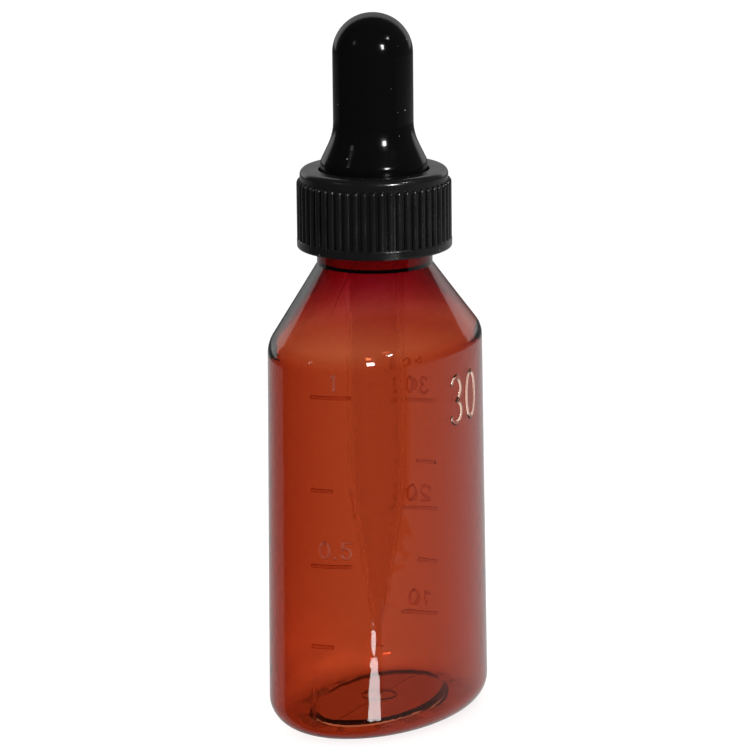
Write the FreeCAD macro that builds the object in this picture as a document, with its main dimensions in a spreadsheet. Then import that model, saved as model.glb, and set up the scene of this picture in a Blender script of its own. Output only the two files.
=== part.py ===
import FreeCAD, Part
import math
import os
import Sketcher

# Amber oval dropper bottle for drawing ink: a graduated oval bottle with a screw
# neck, a ribbed screw collar, a rubber squeeze bulb and a tapered glass pipette.
#
# Frame: millimetres, +Z up, origin at the centre of the base where it stands.
# The long axis of the oval runs along X and the short axis along Y.

DIMENSIONS = {
    # oval body, as half widths of the outside at the base and under the shoulder
    "base_half_long": 18.9,
    "base_half_short": 13.5,
    "top_half_long": 18.3,
    "top_half_short": 13.0,
    "wall": 0.8,
    "floor_thickness": 0.8,
    "heel_radius": 3.4,
    "corner_radius": 3.6,
    "inner_heel_radius": 2.6,
    "inner_corner_radius": 2.8,
    # how far the inside slope of the shoulder rises for each millimetre of its inset, which
    # leaves the shoulder thinner than the wall below it
    "slope_rise": 0.35,
    "shoulder_height": 51.7,
    "neck_height": 61.6,
    "rim_height": 71.9,
    # shallow recess that leaves the bottle standing on an oval ring
    "recess_inset": 5.4,
    "recess_depth": 0.7,
    "recess_rounding": 0.6,
    "gate_radius": 2.4,
    "gate_depth": 0.2,
    "push_up_spread": 0.4,
    # how far a cutting solid runs past what it cuts
    "overrun": 1.0,
    # neck and its thread, an 18-400 finish
    "neck_radius": 7.7,
    "bore_radius": 6.2,
    "thread_crest_radius": 8.75,
    "thread_pitch": 3.175,
    "thread_turns": 1.1,
    "thread_start_height": 65.2,
    "thread_root_width": 1.7,
    "thread_crest_width": 0.9,
    "thread_sink": 0.4,
    # raised graduation marks on the outside
    "mark_height": 0.22,
    "mark_width": 0.42,
    "mark_sink": 0.3,
    "long_mark": 5.2,
    "short_mark": 2.9,
    # screw collar
    "cap_bottom_height": 63.8,
    "cap_length": 10.6,
    "cap_radius": 9.85,
    "cap_band_radius": 10.32,
    "cap_band_length": 1.3,
    "cap_edge_radius": 0.8,
    "cap_bore_radius": 9.05,
    "cap_hole_radius": 7.3,
    "cap_hole_rounding": 0.35,
    "cap_band_rounding": 0.3,
    "cap_step_rounding": 0.2,
    "cap_top_thickness": 1.3,
    "cap_thread_crest_radius": 8.0,
    "cap_thread_turns": 1.0,
    "rib_count": 54,
    "rib_radius": 0.44,
    "rib_top_gap": 1.5,
    "rib_sink": 0.3,
    # squeeze bulb
    "flange_radius": 7.75,
    "flange_thickness": 1.2,
    "flare_radius": 7.1,
    "flare_foot_height": 0.95,
    "flare_length": 3.7,
    "flare_rounding": 6.8,
    "flare_foot_rounding": 1.5,
    "dome_flat": 0.06,
    "bulb_radius": 5.33,
    "bulb_height": 20.65,
    "bulb_wall": 1.5,
    "socket_depth": 8.0,
    "socket_clearance": 0.05,
    # glass pipette
    "pipette_radius": 3.95,
    "pipette_wall": 0.95,
    "tip_height": 8.4,
    "tip_radius": 0.75,
    "tip_bore_radius": 0.4,
    "taper_length": 23.1,
    "stem_length": 2.1,
    "drawn_rounding": 18.0,
    "tip_rounding": 0.2,
    "tube_end_rounding": 0.3,
    "tube_gap": 1.0,
}

# Heights of the graduation marks. The -X end has half ounces and the +X end has
# tens of millilitres, each with a short mark halfway between the long ones.
MARKS = [
    (-1, "long_mark", (24.5, 47.2)),
    (-1, "short_mark", (13.5, 34.7)),
    (1, "long_mark", (8.1, 23.2, 38.6)),
    (1, "short_mark", (15.7, 29.8)),
]

SHEET = "dimensions"


def make_sheet(doc):
    """Spreadsheet of the driving dimensions, one alias a row."""
    sheet = doc.addObject("Spreadsheet::Sheet", SHEET)
    for row, (alias, value) in enumerate(DIMENSIONS.items(), start=1):
        sheet.set("A%d" % row, alias)
        sheet.set("B%d" % row, str(value))
        sheet.setAlias("B%d" % row, alias)
    doc.recompute()
    return sheet


def cell(expression):
    """Turn plain aliases into references to the sheet, such as wall into dimensions.wall."""
    words = []
    for word in expression.split():
        words.append(SHEET + "." + word if word in DIMENSIONS else word)
    return " ".join(words)


def plane(body, role):
    """Origin plane or axis of a body, found by its role."""
    return next(item for item in body.Origin.OriginFeatures if item.Role == role)


def new_body(doc, name):
    body = doc.addObject("PartDesign::Body", name)
    body.Label = name
    return body


def attach(sketch, body, role, height=None):
    sketch.AttachmentSupport = (plane(body, role), [""])
    sketch.MapMode = "FlatFace"
    if height:
        sketch.setExpression(".AttachmentOffset.Base.z", cell(height))


def ellipse_sketch(body, name, half_long, half_short, height):
    """Horizontal ellipse centred on the Z axis, its long axis along X."""
    sketch = body.newObject("Sketcher::SketchObject", name)
    attach(sketch, body, "XY_Plane", height)
    sketch.addGeometry(Part.Ellipse(FreeCAD.Vector(0, 0, 0), 19, 13), False)
    sketch.exposeInternalGeometry(0)
    long_line, short_line = 1, 2
    sketch.addConstraint(Sketcher.Constraint("Coincident", 0, 3, -1, 1))
    sketch.addConstraint(Sketcher.Constraint("Horizontal", long_line))
    for line, half in ((long_line, half_long), (short_line, half_short)):
        index = sketch.addConstraint(Sketcher.Constraint("Distance", line, 30.0))
        sketch.setExpression("Constraints[%d]" % index, cell("2 * ( %s )" % half))
    return sketch


def circle_sketch(body, name, radius, height):
    """Horizontal circle centred on the Z axis."""
    sketch = body.newObject("Sketcher::SketchObject", name)
    attach(sketch, body, "XY_Plane", height)
    sketch.addGeometry(Part.Circle(FreeCAD.Vector(0, 0, 0), FreeCAD.Vector(0, 0, 1), 8), False)
    sketch.addConstraint(Sketcher.Constraint("Coincident", 0, 3, -1, 1))
    index = sketch.addConstraint(Sketcher.Constraint("Radius", 0, 8.0))
    sketch.setExpression("Constraints[%d]" % index, cell(radius))
    return sketch


def vessel(doc, name, inset, bottom, top, neck, heel, corner):
    """Oval body, sloping shoulder and round neck as one solid, `inset` inside the outside."""
    body = new_body(doc, name)
    rise = "( " + inset + " * slope_rise )"
    base = ellipse_sketch(body, name + "_base", "base_half_long - " + inset,
                          "base_half_short - " + inset, bottom)
    shoulder = ellipse_sketch(body, name + "_shoulder", "top_half_long - " + inset,
                              "top_half_short - " + inset, "shoulder_height + " + rise)
    foot = circle_sketch(body, name + "_neck_foot", neck, "neck_height + " + rise)
    doc.recompute()
    loft = body.newObject("PartDesign::AdditiveLoft", name + "_loft")
    loft.Profile = base
    loft.Sections = [shoulder, foot]
    loft.Ruled = True
    doc.recompute()
    neck_pad = body.newObject("PartDesign::Pad", name + "_neck")
    neck_pad.Profile = foot
    neck_pad.setExpression("Length", cell(top + " - neck_height - " + rise))
    doc.recompute()
    round_edge(doc, body, name + "_corner", shoulder.AttachmentOffset.Base.z, corner)
    round_edge(doc, body, name + "_heel", base.AttachmentOffset.Base.z, heel)
    return body


def corner_edge(shape, height):
    """Name of the widest level edge of a shape at one height."""
    best = None
    for index, edge in enumerate(shape.Edges, start=1):
        low, high = edge.Vertexes[0].Point.z, edge.Vertexes[-1].Point.z
        level = abs(low - height) < 1e-4 and abs(high - height) < 1e-4
        flat = level and abs(edge.CenterOfMass.z - height) < 1e-4
        if flat and (best is None or edge.Length > best[0]):
            best = (edge.Length, "Edge%d" % index)
    return best[1]


def round_edge(doc, body, name, height, radius):
    """Fillet the widest level edge at one height of the body built so far."""
    base = body.Tip
    fillet = body.newObject("PartDesign::Fillet", name)
    fillet.Base = (base, [corner_edge(base.Shape, height)])
    fillet.setExpression("Radius", cell(radius))
    doc.recompute()
    return fillet


def profile_sketch(body, name, points):
    """Closed straight-sided profile in the XZ plane; corners are (across, up) expressions."""
    sketch = body.newObject("Sketcher::SketchObject", name)
    attach(sketch, body, "XZ_Plane")
    corners = [FreeCAD.Vector(value(across), value(up), 0) for across, up in points]
    for index, corner in enumerate(corners):
        sketch.addGeometry(Part.LineSegment(corner, corners[(index + 1) % len(corners)]), False)
    for index in range(len(corners)):
        following = (index + 1) % len(corners)
        sketch.addConstraint(Sketcher.Constraint("Coincident", index, 2, following, 1))
    for index, (across, up) in enumerate(points):
        place_corner(sketch, index, "DistanceX", across)
        place_corner(sketch, index, "DistanceY", up)
    return sketch


def place_corner(sketch, index, direction, expression):
    """Bind one coordinate of a profile corner to the sheet, or put the corner on an axis."""
    if expression == "0":
        axis = {"DistanceX": -2, "DistanceY": -1}[direction]
        sketch.addConstraint(Sketcher.Constraint("PointOnObject", index, 1, axis))
        return
    size = value(expression)
    constraint = sketch.addConstraint(Sketcher.Constraint(direction, -1, 1, index, 1, size))
    sketch.setExpression("Constraints[%d]" % constraint, cell(expression))


def value(expression):
    """Number that an expression of the sheet's aliases stands for."""
    words = [str(DIMENSIONS.get(word, word)) for word in expression.split()]
    return FreeCAD.Units.Quantity(" ".join(words)).Value


def revolve(doc, body, name, points):
    """Solid of revolution about the Z axis."""
    sketch = profile_sketch(body, name + "_profile", points)
    doc.recompute()
    solid = body.newObject("PartDesign::Revolution", name)
    solid.Profile = sketch
    solid.ReferenceAxis = (sketch, ["V_Axis"])
    solid.Angle = 360
    doc.recompute()
    return solid


def ring_edge(shape, radius, height):
    """Name of the circular edge about Z with one radius and height."""
    for index, edge in enumerate(shape.Edges, start=1):
        circle = edge.Curve
        if isinstance(circle, Part.Circle) and abs(circle.Radius - radius) < 1e-3:
            if abs(circle.Center.z - height) < 1e-3:
                return "Edge%d" % index
    raise ValueError("no ring of radius %g at height %g" % (radius, height))


def round_ring(doc, body, name, ring_radius, ring_height, radius):
    """Fillet the circular edge of the body built so far that has this radius and height."""
    base = body.Tip
    edge = ring_edge(base.Shape, value(ring_radius), value(ring_height))
    fillet = body.newObject("PartDesign::Fillet", name)
    fillet.Base = (base, [edge])
    fillet.setExpression("Radius", cell(radius))
    doc.recompute()
    return fillet


def add_thread(doc, body, name, root, crest, start, turns):
    """Right-handed trapezoidal thread ridge, wound up from the start height."""
    outward = 1 if value(crest) > value(root) else -1
    sink = "+ thread_sink" if outward < 0 else "- thread_sink"
    half_root, half_crest = "thread_root_width / 2", "thread_crest_width / 2"
    points = [(root + " " + sink, start + " - " + half_root),
              (crest, start + " - " + half_crest),
              (crest, start + " + " + half_crest),
              (root + " " + sink, start + " + " + half_root)]
    sketch = profile_sketch(body, name + "_profile", points)
    doc.recompute()
    helix = body.newObject("PartDesign::AdditiveHelix", name)
    helix.Profile = sketch
    helix.ReferenceAxis = (sketch, ["V_Axis"])
    helix.Mode = "pitch-height-angle"
    helix.setExpression("Pitch", cell("thread_pitch"))
    helix.setExpression("Height", cell("thread_pitch * " + turns))
    doc.recompute()
    return helix


def hollow_base(doc, body, name, inset, height):
    """Press a shallow oval recess, and a round gate mark inside it, into the base."""
    oval = ellipse_sketch(body, name + "_oval", "base_half_long - " + inset,
                          "base_half_short - " + inset, height)
    cut_up(doc, body, name, oval, "recess_depth")
    round_edge(doc, body, name + "_edge", value(height + " + recess_depth"), "recess_rounding")
    spot = circle_sketch(body, name + "_gate_outline", "gate_radius", height + " + recess_depth")
    cut_up(doc, body, name + "_gate", spot, "gate_depth")


def cut_up(doc, body, name, sketch, depth):
    """Pocket that cuts upward into the body, tested by the volume that it takes away."""
    before = body.Tip.Shape.Volume
    doc.recompute()
    pocket = body.newObject("PartDesign::Pocket", name)
    pocket.Profile = sketch
    pocket.Reversed = True
    pocket.setExpression("Length", cell(depth))
    doc.recompute()
    if pocket.Shape.Volume >= before:
        raise ValueError(name + " cuts nothing")


def make_bottle(doc):
    """Blown oval bottle with its neck thread and raised graduation marks."""
    outside = vessel(doc, "bottle_outside", "0", "0", "rim_height", "neck_radius",
                     "heel_radius", "corner_radius")
    hollow_base(doc, outside, "recess", "recess_inset", "0")
    add_thread(doc, outside, "neck_thread", "neck_radius", "thread_crest_radius",
               "thread_start_height", "thread_turns")
    inside = vessel(doc, "bottle_inside", "wall", "floor_thickness", "rim_height + overrun",
                    "bore_radius", "inner_heel_radius", "inner_corner_radius")
    hollow_base(doc, inside, "push_up", "( recess_inset + push_up_spread )", "floor_thickness")
    shell = doc.addObject("Part::Cut", "bottle_shell")
    shell.Base, shell.Tool = outside, inside
    bottle = doc.addObject("Part::MultiFuse", "bottle")
    bottle.Shapes = [shell, make_marks(doc)]
    bottle.Label = "bottle"
    doc.recompute()
    return bottle


def make_marks(doc):
    """Graduation marks: strips of a thin skin round the body, at both narrow ends."""
    skin = vessel(doc, "mark_outside", "( 0 - mark_height )", "0", "rim_height", "neck_radius",
                  "heel_radius", "corner_radius")
    core = vessel(doc, "mark_inside", "mark_sink", "0", "rim_height + overrun", "neck_radius",
                  "heel_radius", "corner_radius")
    sleeve = doc.addObject("Part::Cut", "mark_sleeve")
    sleeve.Base, sleeve.Tool = skin, core
    blocks = []
    for side, length, heights in MARKS:
        for height in heights:
            blocks.append(mark_block(doc, side, height, length))
    stock = doc.addObject("Part::MultiFuse", "mark_stock")
    stock.Shapes = blocks
    marks = doc.addObject("Part::MultiCommon", "marks")
    marks.Shapes = [sleeve, stock]
    return marks


def mark_block(doc, side, height, length):
    """Block that cuts one mark out of the skin; it starts at the end of the oval."""
    block = doc.addObject("Part::Box", "mark_block")
    block.setExpression("Length", cell("base_half_long / 2"))
    block.setExpression("Width", cell(length))
    block.setExpression("Height", cell("mark_width"))
    turn = FreeCAD.Rotation(FreeCAD.Vector(0, 0, 1), 0 if side > 0 else 180)
    reach = FreeCAD.Vector(value("base_half_long / 2 + overrun"), 0, height - value("mark_width / 2"))
    block.Placement = FreeCAD.Placement(turn.multVec(reach), turn)
    return block


def make_cap(doc):
    """Screw collar: ribbed skirt, plain bottom band, flat top with a round hole."""
    body = new_body(doc, "cap")
    top = "cap_bottom_height + cap_length"
    ceiling = top + " - cap_top_thickness"
    band_top = "cap_bottom_height + cap_band_length"
    revolve(doc, body, "collar", [
        ("cap_bore_radius", "cap_bottom_height"), ("cap_band_radius", "cap_bottom_height"),
        ("cap_band_radius", band_top), ("cap_radius", band_top),
        ("cap_radius", top), ("cap_hole_radius", top),
        ("cap_hole_radius", ceiling), ("cap_bore_radius", ceiling)])
    round_ring(doc, body, "top_edge", "cap_radius", top, "cap_edge_radius")
    round_ring(doc, body, "hole_edge", "cap_hole_radius", top, "cap_hole_rounding")
    round_ring(doc, body, "band_edge", "cap_band_radius", "cap_bottom_height", "cap_band_rounding")
    round_ring(doc, body, "band_shoulder", "cap_band_radius", band_top, "cap_step_rounding")
    add_ribs(doc, body, band_top, top + " - rib_top_gap")
    add_thread(doc, body, "cap_thread", "cap_bore_radius", "cap_thread_crest_radius",
               "thread_start_height + thread_pitch / 2", "cap_thread_turns")
    return body


def add_ribs(doc, body, low, high):
    """Upright grip ribs round the skirt, each a rod with a domed top."""
    sketch = body.newObject("Sketcher::SketchObject", "rib_profile")
    attach(sketch, body, "XZ_Plane")
    across, bottom, tip = value("cap_radius"), value(low + " - rib_sink"), value(high)
    radius = value("rib_radius")
    centre = FreeCAD.Vector(across, tip - radius, 0)
    foot = FreeCAD.Vector(across, bottom, 0)
    foot_edge = FreeCAD.Vector(across + radius, bottom, 0)
    shoulder = FreeCAD.Vector(across + radius, tip - radius, 0)
    sketch.addGeometry([
        Part.LineSegment(foot, foot_edge),
        Part.LineSegment(foot_edge, shoulder),
        Part.ArcOfCircle(Part.Circle(centre, FreeCAD.Vector(0, 0, 1), radius), 0, math.pi / 2),
        Part.LineSegment(FreeCAD.Vector(across, tip, 0), foot)], False)
    axis_line = 3
    for first, start, second, end in ((0, 2, 1, 1), (1, 2, 2, 1), (2, 2, 3, 1), (3, 2, 0, 1)):
        sketch.addConstraint(Sketcher.Constraint("Coincident", first, start, second, end))
    sketch.addConstraint(Sketcher.Constraint("Horizontal", 0))
    sketch.addConstraint(Sketcher.Constraint("Vertical", 1))
    sketch.addConstraint(Sketcher.Constraint("Vertical", axis_line))
    sketch.addConstraint(Sketcher.Constraint("PointOnObject", 2, 3, axis_line))
    place_corner(sketch, 0, "DistanceX", "cap_radius")
    place_corner(sketch, 0, "DistanceY", low + " - rib_sink")
    place_corner(sketch, 3, "DistanceY", high)
    index = sketch.addConstraint(Sketcher.Constraint("Radius", 2, radius))
    sketch.setExpression("Constraints[%d]" % index, cell("rib_radius"))
    doc.recompute()
    rib = body.newObject("PartDesign::Revolution", "rib")
    rib.Profile = sketch
    rib.ReferenceAxis = (sketch, ["Edge4"])
    rib.Angle = 360
    doc.recompute()
    ribs = body.newObject("PartDesign::PolarPattern", "ribs")
    ribs.Originals = [rib]
    ribs.Axis = (plane(body, "Z_Axis"), [""])
    ribs.Angle = 360
    ribs.setExpression("Occurrences", cell("rib_count"))
    body.Tip = ribs
    doc.recompute()


def make_bulb(doc):
    """Rubber squeeze bulb: flange on the rim, flared foot, domed top, hollow inside."""
    body = new_body(doc, "bulb")
    cap_top = "cap_bottom_height + cap_length"
    flange_top = "rim_height + flange_thickness"
    flare_foot = cap_top + " + flare_foot_height"
    flare_top = flare_foot + " + flare_length"
    top = cap_top + " + bulb_height"
    socket = "pipette_radius + socket_clearance"
    socket_top = "rim_height + socket_depth"
    cavity = "bulb_radius - bulb_wall"
    revolve(doc, body, "skin", [
        (socket, "rim_height"), ("flange_radius", "rim_height"),
        ("flange_radius", flange_top), ("flare_radius", flange_top),
        ("flare_radius", flare_foot), ("bulb_radius", flare_top),
        ("bulb_radius", top), ("0", top),
        ("0", top + " - bulb_wall"), (cavity, top + " - bulb_wall"),
        (cavity, socket_top), (socket, socket_top)])
    round_ring(doc, body, "dome", "bulb_radius", top, "bulb_radius - dome_flat")
    round_ring(doc, body, "dome_inside", cavity, top + " - bulb_wall", cavity + " - dome_flat")
    round_ring(doc, body, "waist", "bulb_radius", flare_top, "flare_rounding")
    round_ring(doc, body, "flare_edge", "flare_radius", flare_foot, "flare_foot_rounding")
    return body


def make_pipette(doc):
    """Glass dropper tube, drawn down in one long taper to a fine open tip."""
    body = new_body(doc, "pipette")
    top = "rim_height + socket_depth - tube_gap"
    taper_top = "tip_height + taper_length"
    stem = "tip_height + stem_length"
    inner = "pipette_radius - pipette_wall"
    revolve(doc, body, "tube", [
        (inner, top), ("pipette_radius", top), ("pipette_radius", taper_top),
        ("tip_radius", stem), ("tip_radius", "tip_height"),
        ("tip_bore_radius", "tip_height"), ("tip_bore_radius", stem), (inner, taper_top)])
    round_ring(doc, body, "shoulder", "pipette_radius", taper_top, "drawn_rounding")
    round_ring(doc, body, "draw", "tip_radius", stem, "drawn_rounding")
    round_ring(doc, body, "shoulder_inside", inner, taper_top, "drawn_rounding")
    round_ring(doc, body, "draw_inside", "tip_bore_radius", stem, "drawn_rounding")
    round_ring(doc, body, "tip_edge", "tip_radius", "tip_height", "tip_rounding")
    round_ring(doc, body, "top_edge", "pipette_radius", top, "tube_end_rounding")
    return body


def check_document(doc, parts):
    """Stop on a failed feature or a missing or broken solid."""
    for item in doc.Objects:
        if "Invalid" in item.State or "Error" in item.State:
            raise RuntimeError("%s is in state %s" % (item.Name, item.State))
    for part in parts:
        if part.Shape.isNull() or not part.Shape.isValid():
            raise RuntimeError("%s has no valid shape" % part.Label)
        if len(part.Shape.Solids) != 1:
            raise RuntimeError("%s has %d solids" % (part.Label, len(part.Shape.Solids)))


def main():
    doc = FreeCAD.newDocument("dropper_bottle")
    make_sheet(doc)
    parts = [make_bottle(doc), make_cap(doc), make_bulb(doc), make_pipette(doc)]
    doc.recompute()
    check_document(doc, parts)
    os.makedirs("parts", exist_ok=True)
    for part in parts:
        part.Shape.exportStep("parts/%s.step" % part.Label)


main()
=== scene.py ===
import bmesh
import bpy
import math
from mathutils import Matrix, Vector


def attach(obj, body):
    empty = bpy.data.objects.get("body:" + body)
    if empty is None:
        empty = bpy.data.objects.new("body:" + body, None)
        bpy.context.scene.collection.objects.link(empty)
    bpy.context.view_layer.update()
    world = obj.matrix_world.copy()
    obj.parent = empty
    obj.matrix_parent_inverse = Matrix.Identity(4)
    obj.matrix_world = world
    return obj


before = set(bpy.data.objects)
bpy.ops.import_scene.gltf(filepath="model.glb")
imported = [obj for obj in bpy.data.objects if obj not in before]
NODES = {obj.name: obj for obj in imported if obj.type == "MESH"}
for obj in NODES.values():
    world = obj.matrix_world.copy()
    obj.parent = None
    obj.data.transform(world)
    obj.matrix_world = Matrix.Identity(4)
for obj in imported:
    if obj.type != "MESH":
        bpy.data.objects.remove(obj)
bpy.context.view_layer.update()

# Lengths are in metres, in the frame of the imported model.
MM = 0.001


# ---- camera, floor and light ------------------------------------------------

# The narrow -X end of the oval faces the camera, a little to its left.
CAMERA_AZIMUTH = math.radians(-62.3)
CAMERA_DISTANCE = 595 * MM
CAMERA_HEIGHT = 188 * MM
CAMERA_ROLL = math.radians(-0.6)
AIM = Vector((0, 0, 46 * MM))
LENS = 219.0


def make_camera():
    """Long lens from a little above, rolled by a fraction of a degree."""
    data = bpy.data.cameras.new("camera")
    data.lens = LENS
    data.sensor_width = 36.0
    data.clip_start = 0.01
    camera = bpy.data.objects.new("camera", data)
    bpy.context.scene.collection.objects.link(camera)
    across = Vector((math.sin(CAMERA_AZIMUTH), -math.cos(CAMERA_AZIMUTH), 0))
    camera.location = across * CAMERA_DISTANCE + Vector((0, 0, CAMERA_HEIGHT))
    aim = (AIM - camera.location).to_track_quat("-Z", "Y").to_matrix().to_4x4()
    roll = Matrix.Rotation(CAMERA_ROLL, 4, "Z")
    camera.matrix_world = Matrix.Translation(camera.location) @ aim @ roll
    bpy.context.scene.camera = camera


# Reflections see a white table behind the object and at its sides, a white backdrop that rises
# behind it, and a dim room elsewhere.
TABLE_CENTRE = CAMERA_AZIMUTH + math.radians(157.5)
NEAR_TABLE = CAMERA_AZIMUTH + math.radians(112)
BEHIND = CAMERA_AZIMUTH + math.pi
ROOM = 0.025
BACKDROP = 0.85
# Brightness of the table's reflection at its side and straight behind.
TABLE = (0.28, 0.6)
# Slopes of a reflected ray between which the table, and its slanted near edge, fade out.
TABLE_SLOPES = (-0.24, -0.15)
NEAR_EDGE_SLOPES = (-0.268, -0.245)
WHITE = (1.0, 1.0, 1.0, 1)


def map_range(nodes, links, source, low, high, bottom, top):
    """Value that runs from bottom to top while the source runs from low to high."""
    node = nodes.new("ShaderNodeMapRange")
    node.interpolation_type = "SMOOTHSTEP"
    links.new(source, node.inputs["Value"])
    for name, number in zip(("From Min", "From Max", "To Min", "To Max"), (low, high, bottom, top)):
        node.inputs[name].default_value = number
    return node.outputs["Result"]


def combine(nodes, links, operation, first, second):
    """Result of one arithmetic operation on two values."""
    node = nodes.new("ShaderNodeMath")
    node.operation = operation
    links.new(first, node.inputs[0])
    links.new(second, node.inputs[1])
    return node.outputs["Value"]


def towards(nodes, links, source, azimuth):
    """How far a direction points to one azimuth, from -1 to 1."""
    node = nodes.new("ShaderNodeVectorMath")
    node.operation = "DOT_PRODUCT"
    node.inputs[1].default_value = (math.sin(azimuth), -math.cos(azimuth), 0)
    links.new(source, node.inputs[0])
    return node.outputs["Value"]


def make_world():
    """White surroundings, except for what the object's surfaces reflect."""
    world = bpy.data.worlds.new("studio")
    world.use_nodes = True
    nodes, links = world.node_tree.nodes, world.node_tree.links
    direction = nodes.new("ShaderNodeTexCoord").outputs["Generated"]
    split = nodes.new("ShaderNodeSeparateXYZ")
    links.new(direction, split.inputs["Vector"])
    across = towards(nodes, links, direction, TABLE_CENTRE)
    side = map_range(nodes, links, across, 0.02, 0.07, 0.0, 1.0)
    right = towards(nodes, links, direction, NEAR_TABLE)
    edge = map_range(nodes, links, split.outputs["Z"], *NEAR_EDGE_SLOPES, 0.25, 0.7)
    past_edge = combine(nodes, links, "SUBTRACT", right, edge)
    near_side = map_range(nodes, links, past_edge, 0.0, 0.05, 0.0, 1.0)
    side = combine(nodes, links, "MAXIMUM", side, near_side)
    depth = map_range(nodes, links, across, 0.1, 1.0, *TABLE)
    below = map_range(nodes, links, split.outputs["Z"], *TABLE_SLOPES, 1.0, 0.17)
    table = combine(nodes, links, "MULTIPLY", side, depth)
    table = combine(nodes, links, "MULTIPLY", table, below)
    behind = towards(nodes, links, direction, BEHIND)
    backdrop = map_range(nodes, links, behind, 0.62, 0.68, 0.0, BACKDROP)
    fade = map_range(nodes, links, behind, 0.8, 0.97, 1.0, 0.4)
    backdrop = combine(nodes, links, "MULTIPLY", backdrop, fade)
    above = map_range(nodes, links, split.outputs["Z"], -0.1, 0.0, 0.0, 1.0)
    backdrop = combine(nodes, links, "MULTIPLY", backdrop, above)
    white = combine(nodes, links, "MAXIMUM", table, backdrop)
    room = nodes.new("ShaderNodeMath")
    room.operation = "MAXIMUM"
    room.inputs[1].default_value = ROOM
    links.new(white, room.inputs[0])
    path = nodes.new("ShaderNodeLightPath")
    choose = nodes.new("ShaderNodeMix")
    choose.data_type = "RGBA"
    choose.inputs["A"].default_value = WHITE
    links.new(path.outputs["Is Glossy Ray"], choose.inputs["Factor"])
    links.new(room.outputs["Value"], choose.inputs["B"])
    links.new(choose.outputs["Result"], nodes["Background"].inputs["Color"])
    bpy.context.scene.world = world


def make_lights():
    """A key softbox right of the camera, weak ones above it and to its left, and a low glint."""
    view = math.degrees(CAMERA_AZIMUTH)
    area_light("key", view + 30, 24, 1.2, (0.15, 0.21), 11.0)
    area_light("top", view + 59, 44, 1.0, (0.1, 0.05), 0.8)
    area_light("side", view - 62, 30, 1.4, (0.14, 0.2), 0.25)
    glint = area_light("glint", view + 30, -21.9, 0.9, (0.26, 0.15), 1.1)
    glint.data.shape = "ELLIPSE"


def area_light(name, azimuth, elevation, distance, size, watts):
    """Softbox that faces the aim point from an azimuth and elevation in degrees."""
    data = bpy.data.lights.new(name, "AREA")
    data.shape = "RECTANGLE"
    data.size, data.size_y = size
    data.energy = watts
    light = bpy.data.objects.new(name, data)
    bpy.context.scene.collection.objects.link(light)
    a, e = math.radians(azimuth), math.radians(elevation)
    back = Vector((math.sin(a) * math.cos(e), -math.cos(a) * math.cos(e), math.sin(e)))
    light.location = AIM + back * distance
    light.rotation_mode = "QUATERNION"
    light.rotation_quaternion = back.to_track_quat("Z", "Y")
    return light


def make_floor():
    """Pale floor that lights the object from below but is not seen in its reflections."""
    mesh = bpy.data.meshes.new("floor")
    half = 3.0
    mesh.from_pydata([(-half, -half, 0), (half, -half, 0), (half, half, 0), (-half, half, 0)],
                     [], [(0, 1, 2, 3)])
    floor = bpy.data.objects.new("floor", mesh)
    bpy.context.scene.collection.objects.link(floor)
    material, shader, nodes, links = new_material("floor")
    shader.inputs["Base Color"].default_value = (0.4, 0.4, 0.4, 1)
    shader.inputs["Roughness"].default_value = 0.6
    shader.inputs["Emission Color"].default_value = WHITE
    shader.inputs["Emission Strength"].default_value = 0.6
    floor.data.materials.append(material)
    floor.visible_glossy = False


# ---- materials --------------------------------------------------------------

def new_material(name):
    material = bpy.data.materials.new(name)
    material.use_nodes = True
    nodes, links = material.node_tree.nodes, material.node_tree.links
    return material, nodes["Principled BSDF"], nodes, links


def paint(obj, material):
    """Give every slot of an object one material."""
    if not obj.data.materials:
        obj.data.materials.append(material)
    for slot in obj.material_slots:
        slot.material = material


def noise(nodes, links, scale, detail):
    """Noise value in the object's own coordinates; the scale is in features for each metre."""
    place = nodes.new("ShaderNodeTexCoord")
    texture = nodes.new("ShaderNodeTexNoise")
    texture.inputs["Scale"].default_value = scale
    texture.inputs["Detail"].default_value = detail
    links.new(place.outputs["Object"], texture.inputs["Vector"])
    return texture.outputs["Fac"]


def add_bump(nodes, links, shader, height, distance):
    """Bump whose full depth is the given distance."""
    bump = nodes.new("ShaderNodeBump")
    bump.inputs["Distance"].default_value = distance
    links.new(height, bump.inputs["Height"])
    links.new(bump.outputs["Normal"], shader.inputs["Normal"])


def clear(name, colour, ior):
    """Transparent material of one colour and one refractive index."""
    material, shader, nodes, links = new_material(name)
    shader.inputs["Base Color"].default_value = colour
    shader.inputs["IOR"].default_value = ior
    shader.inputs["Transmission Weight"].default_value = 1.0
    return material, shader, nodes, links


# Width of the parting line, from its foot to its crest on each side of the plane Y = 0.
RIDGE_FOOT = 0.22 * MM
RIDGE_CREST = 0.05 * MM
# Heights between which the amber deepens to the tint of the neck.
NECK_HEIGHTS = (52 * MM, 61 * MM)
NECK_TINT = (0.72, 0.2, 0.85, 1)
WAVE_DEPTH = 0.03 * MM


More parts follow.
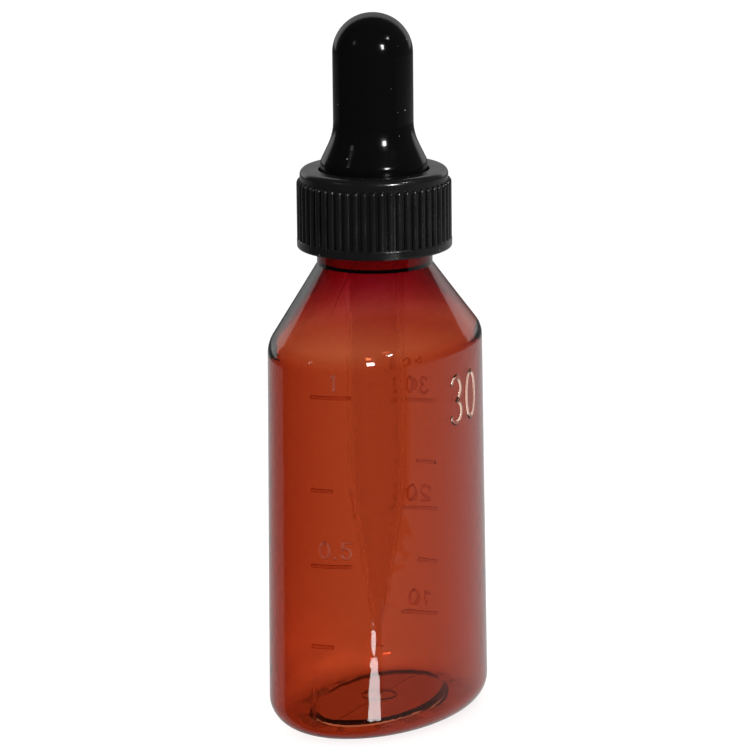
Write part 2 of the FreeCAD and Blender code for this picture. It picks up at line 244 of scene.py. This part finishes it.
def amber_plastic():
    """Blown amber plastic: gently wavy, with a few fine scuffs that dull the gloss.

    It is thicker and so a deeper red at the neck, and the mould's parting line is a fine ridge.
    """
    material, shader, nodes, links = clear("amber_plastic", WHITE, 1.5)
    place = nodes.new("ShaderNodeTexCoord")
    split = nodes.new("ShaderNodeSeparateXYZ")
    links.new(place.outputs["Object"], split.inputs["Vector"])
    waves = noise(nodes, links, 110.0, 1.0)
    one_side = map_range(nodes, links, split.outputs["Y"], -RIDGE_FOOT, -RIDGE_CREST, 0.0, 0.5)
    other_side = map_range(nodes, links, split.outputs["Y"], RIDGE_CREST, RIDGE_FOOT, 1.0, 0.0)
    ridge = combine(nodes, links, "MULTIPLY", one_side, other_side)
    add_bump(nodes, links, shader, combine(nodes, links, "ADD", waves, ridge), WAVE_DEPTH)
    neck = nodes.new("ShaderNodeMix")
    neck.data_type = "RGBA"
    neck.inputs["A"].default_value = WHITE
    neck.inputs["B"].default_value = NECK_TINT
    share = map_range(nodes, links, split.outputs["Z"], *NECK_HEIGHTS, 0.0, 1.0)
    links.new(share, neck.inputs["Factor"])
    links.new(neck.outputs["Result"], shader.inputs["Base Color"])
    scuffs = map_range(nodes, links, noise(nodes, links, 900.0, 6.0), 0.6, 0.75, 0.015, 0.09)
    links.new(scuffs, shader.inputs["Roughness"])
    absorb = nodes.new("ShaderNodeVolumeAbsorption")
    absorb.inputs["Color"].default_value = (0.775, 0.347, 0.09, 1)
    absorb.inputs["Density"].default_value = 3000.0
    links.new(absorb.outputs["Volume"], nodes["Material Output"].inputs["Volume"])
    return material


def amber_relief():
    """Amber of the raised numerals, too thin to deepen the colour of the wall much."""
    material, shader, nodes, links = clear("amber_relief", (0.85, 0.62, 0.5, 1), 1.45)
    worn = map_range(nodes, links, noise(nodes, links, 700.0, 4.0), 0.35, 0.7, 0.02, 0.12)
    links.new(worn, shader.inputs["Roughness"])
    return material


def clear_glass():
    """Thin drawn glass, a little dulled by dried ink."""
    material, shader, nodes, links = clear("clear_glass", (0.93, 0.9, 0.9, 1), 1.12)
    add_bump(nodes, links, shader, noise(nodes, links, 60.0, 1.0), 0.01 * MM)
    film = map_range(nodes, links, noise(nodes, links, 300.0, 3.0), 0.3, 0.7, 0.0, 0.04)
    links.new(film, shader.inputs["Roughness"])
    return material


def specks(nodes, links, cells, size, share):
    """1 in small round specks and 0 elsewhere, in a share of the cells of a random grid."""
    place = nodes.new("ShaderNodeTexCoord")
    grid = nodes.new("ShaderNodeTexVoronoi")
    grid.inputs["Scale"].default_value = cells
    links.new(place.outputs["Object"], grid.inputs["Vector"])
    near = map_range(nodes, links, grid.outputs["Distance"], size * 0.6, size, 1.0, 0.0)
    split = nodes.new("ShaderNodeSeparateColor")
    links.new(grid.outputs["Color"], split.inputs["Color"])
    chosen = map_range(nodes, links, split.outputs["Red"], share, share + 0.01, 1.0, 0.0)
    return combine(nodes, links, "MULTIPLY", near, chosen)


def black(name, shade, roughness, sheen, grain, grain_depth, dust_share):
    """Black moulding with a fine grain, uneven gloss and pale dust."""
    material, shader, nodes, links = new_material(name)
    shader.inputs["Specular IOR Level"].default_value = sheen
    dust = specks(nodes, links, 900.0, 0.11, dust_share)
    colour = nodes.new("ShaderNodeMix")
    colour.data_type = "RGBA"
    colour.inputs["A"].default_value = (shade, shade, shade * 1.1, 1)
    colour.inputs["B"].default_value = (0.16, 0.16, 0.15, 1)
    links.new(dust, colour.inputs["Factor"])
    links.new(colour.outputs["Result"], shader.inputs["Base Color"])
    gloss = map_range(nodes, links, noise(nodes, links, 260.0, 5.0), 0.3, 0.7,
                      roughness * 0.75, roughness * 1.3)
    links.new(gloss, shader.inputs["Roughness"])
    add_bump(nodes, links, shader, noise(nodes, links, grain, 3.0), grain_depth)
    return material


# ---- raised numerals --------------------------------------------------------

# Half widths of the oval outside at its base and under its shoulder, along X and along Y.
BASE_HALF = (18.9 * MM, 13.5 * MM)
TOP_HALF = (18.3 * MM, 13.0 * MM)
SHOULDER_HEIGHT = 51.7 * MM

# Places on the oval that a line of numerals starts from, as angles of its ellipse.
NEAR_END = math.radians(180)
FRONT = math.radians(270)
FAR_END = math.radians(0)

# Text, starting place, distance along the wall, height of its foot, height and width of a digit.
NUMERALS = (
    ("half", "0.5", NEAR_END, 1.2 * MM, 25.6 * MM, 2.1 * MM, 1.25 * MM),
    ("one", "1", NEAR_END, 2.6 * MM, 48.2 * MM, 2.1 * MM, 1.2 * MM),
    ("ten", "10", FAR_END, 1.2 * MM, 9.2 * MM, 2.1 * MM, 1.25 * MM),
    ("twenty", "20", FAR_END, 1.2 * MM, 24.3 * MM, 2.1 * MM, 1.25 * MM),
    ("thirty", "30", FAR_END, 1.2 * MM, 39.7 * MM, 2.1 * MM, 1.25 * MM),
    ("capacity", "30", FRONT, -3.2 * MM, 41.4 * MM, 6.2 * MM, 2.6 * MM),
)
# Width, height and fullness of each kind of bead; its section is (1 - u * u) ** fullness.
STROKE = (0.4 * MM, 0.06 * MM, 1.0)
BOLD_STROKE = (0.74 * MM, 0.17 * MM, 0.5)
# Raised pieces lie this far off the wall, and a run is divided so that it doesn't cut into it.
GAP = 0.01 * MM
STEP = 0.3 * MM
BEAD_SIDES = 8
# A round end is this many smaller rings, which stop short of a quarter turn.
END_RINGS = 4
END_TURN = 80


def arc(centre, radii, start, end, steps=16):
    """Points along part of an ellipse, from one angle to another, in degrees."""
    angles = [math.radians(start + (end - start) * i / steps) for i in range(steps + 1)]
    return [(centre[0] + radii[0] * math.cos(a), centre[1] + radii[1] * math.sin(a)) for a in angles]


# Strokes of each character in a box 1 wide and 1 high.
STROKES = {
    "0": [arc((0.5, 0.5), (0.5, 0.5), 90, 450, 32)],
    "1": [[(0.2, 0.76), (0.5, 1.0), (0.5, 0.0)]],
    "2": [arc((0.5, 0.72), (0.48, 0.28), 165, -35) + [(0.03, 0.0), (1.0, 0.0)]],
    "3": [arc((0.46, 0.75), (0.44, 0.25), 150, -90) + arc((0.46, 0.25), (0.5, 0.25), 90, -150)[1:]],
    "5": [[(0.95, 1.0), (0.15, 1.0), (0.08, 0.52)] + arc((0.45, 0.32), (0.5, 0.32), 125, -150)],
    ".": [[(0.0, 0.0), (0.06, 0.0)]],
}
ADVANCE = {".": 0.75}
DIGIT_ADVANCE = 1.55


def half_widths(height):
    """Half widths of the oval outside along X and along Y at one height."""
    share = height / SHOULDER_HEIGHT
    return [low + (high - low) * share for low, high in zip(BASE_HALF, TOP_HALF)]


def on_wall(start, along, height):
    """Point and outward normal of the wall, a distance along it from a place on the oval."""
    long, short = half_widths(height)
    angle = start
    steps = 40
    for _ in range(steps):
        angle += along / steps / math.hypot(long * math.sin(angle), short * math.cos(angle))
    normal = Vector((math.cos(angle) / long, math.sin(angle) / short, 0)).normalized()
    return Vector((long * math.cos(angle), short * math.sin(angle), height)), normal


def divided(points, step):
    """The same line with no run longer than a step."""
    line = [points[0]]
    for start, end in zip(points, points[1:]):
        count = max(1, math.ceil((end - start).length / step))
        line += [start.lerp(end, (i + 1) / count) for i in range(count)]
    return line


def bead_ring(mesh, point, normal, ahead, bead, scale=1.0):
    """Section of a bead, flat side to the wall."""
    width, height, fullness = bead
    across = ahead.cross(normal).normalized() * width / 2 * scale
    foot = point + normal * GAP
    places = [math.cos(math.pi * i / BEAD_SIDES) for i in range(BEAD_SIDES + 1)]
    return [mesh.verts.new(foot + across * u + normal * height * scale * (1 - u * u) ** fullness)
            for u in places]


def add_bead(mesh, route, bead):
    """Closed bead with round ends along a route of (point, normal) pairs on the wall."""
    points = [point for point, normal in route]
    half = bead[0] / 2
    bends = [math.radians(END_TURN * i / END_RINGS) for i in range(1, END_RINGS + 1)]
    rings = []
    for index, (point, normal) in enumerate(route):
        ahead = points[min(index + 1, len(points) - 1)] - points[max(index - 1, 0)]
        ahead.normalize()
        if index == 0:
            for bend in reversed(bends):
                back = point - ahead * half * math.sin(bend)
                rings.append(bead_ring(mesh, back, normal, ahead, bead, math.cos(bend)))
        rings.append(bead_ring(mesh, point, normal, ahead, bead))
        if index == len(route) - 1:
            for bend in bends:
                on = point + ahead * half * math.sin(bend)
                rings.append(bead_ring(mesh, on, normal, ahead, bead, math.cos(bend)))
    sides = BEAD_SIDES + 1
    for first, second in zip(rings, rings[1:]):
        for i in range(sides):
            j = (i + 1) % sides
            face = mesh.faces.new((first[i], second[i], second[j], first[j]))
            face.smooth = i < BEAD_SIDES
    mesh.faces.new(rings[0])
    mesh.faces.new(reversed(rings[-1]))


def raised_piece(name, mesh, material):
    """Object made of beads, which belongs to the bottle."""
    data = bpy.data.meshes.new(name)
    mesh.to_mesh(data)
    mesh.free()
    data.materials.append(material)
    piece = bpy.data.objects.new(name, data)
    bpy.context.scene.collection.objects.link(piece)
    piece.visible_shadow = False
    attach(piece, "bottle")


def make_numerals(material):
    """Raised numerals, each line of them one piece."""
    for name, text, start, along, foot, height, width in NUMERALS:
        mesh = bmesh.new()
        bead = BOLD_STROKE if name == "capacity" else STROKE
        for character in text:
            for stroke in STROKES[character]:
                flat = [Vector((along + x * width, foot + y * height, 0)) for x, y in stroke]
                route = [on_wall(start, place.x, place.y) for place in divided(flat, STEP)]
                add_bead(mesh, route, bead)
            along += width * ADVANCE.get(character, DIGIT_ADVANCE)
        raised_piece("numeral_" + name, mesh, material)


bpy.context.scene.view_settings.view_transform = "Standard"
make_camera()
make_world()
make_lights()
make_floor()
paint(NODES["bottle"], amber_plastic())
relief = amber_relief()
make_numerals(relief)
NODES["bottle"].visible_shadow = False
NODES["pipette"].visible_shadow = False
paint(NODES["pipette"], clear_glass())
paint(NODES["cap"], black("black_plastic", 0.004, 0.22, 0.5, 2500.0, 0.01 * MM, 0.12))
paint(NODES["bulb"], black("black_rubber", 0.0018, 0.11, 0.2, 1200.0, 0.004 * MM, 0.25))
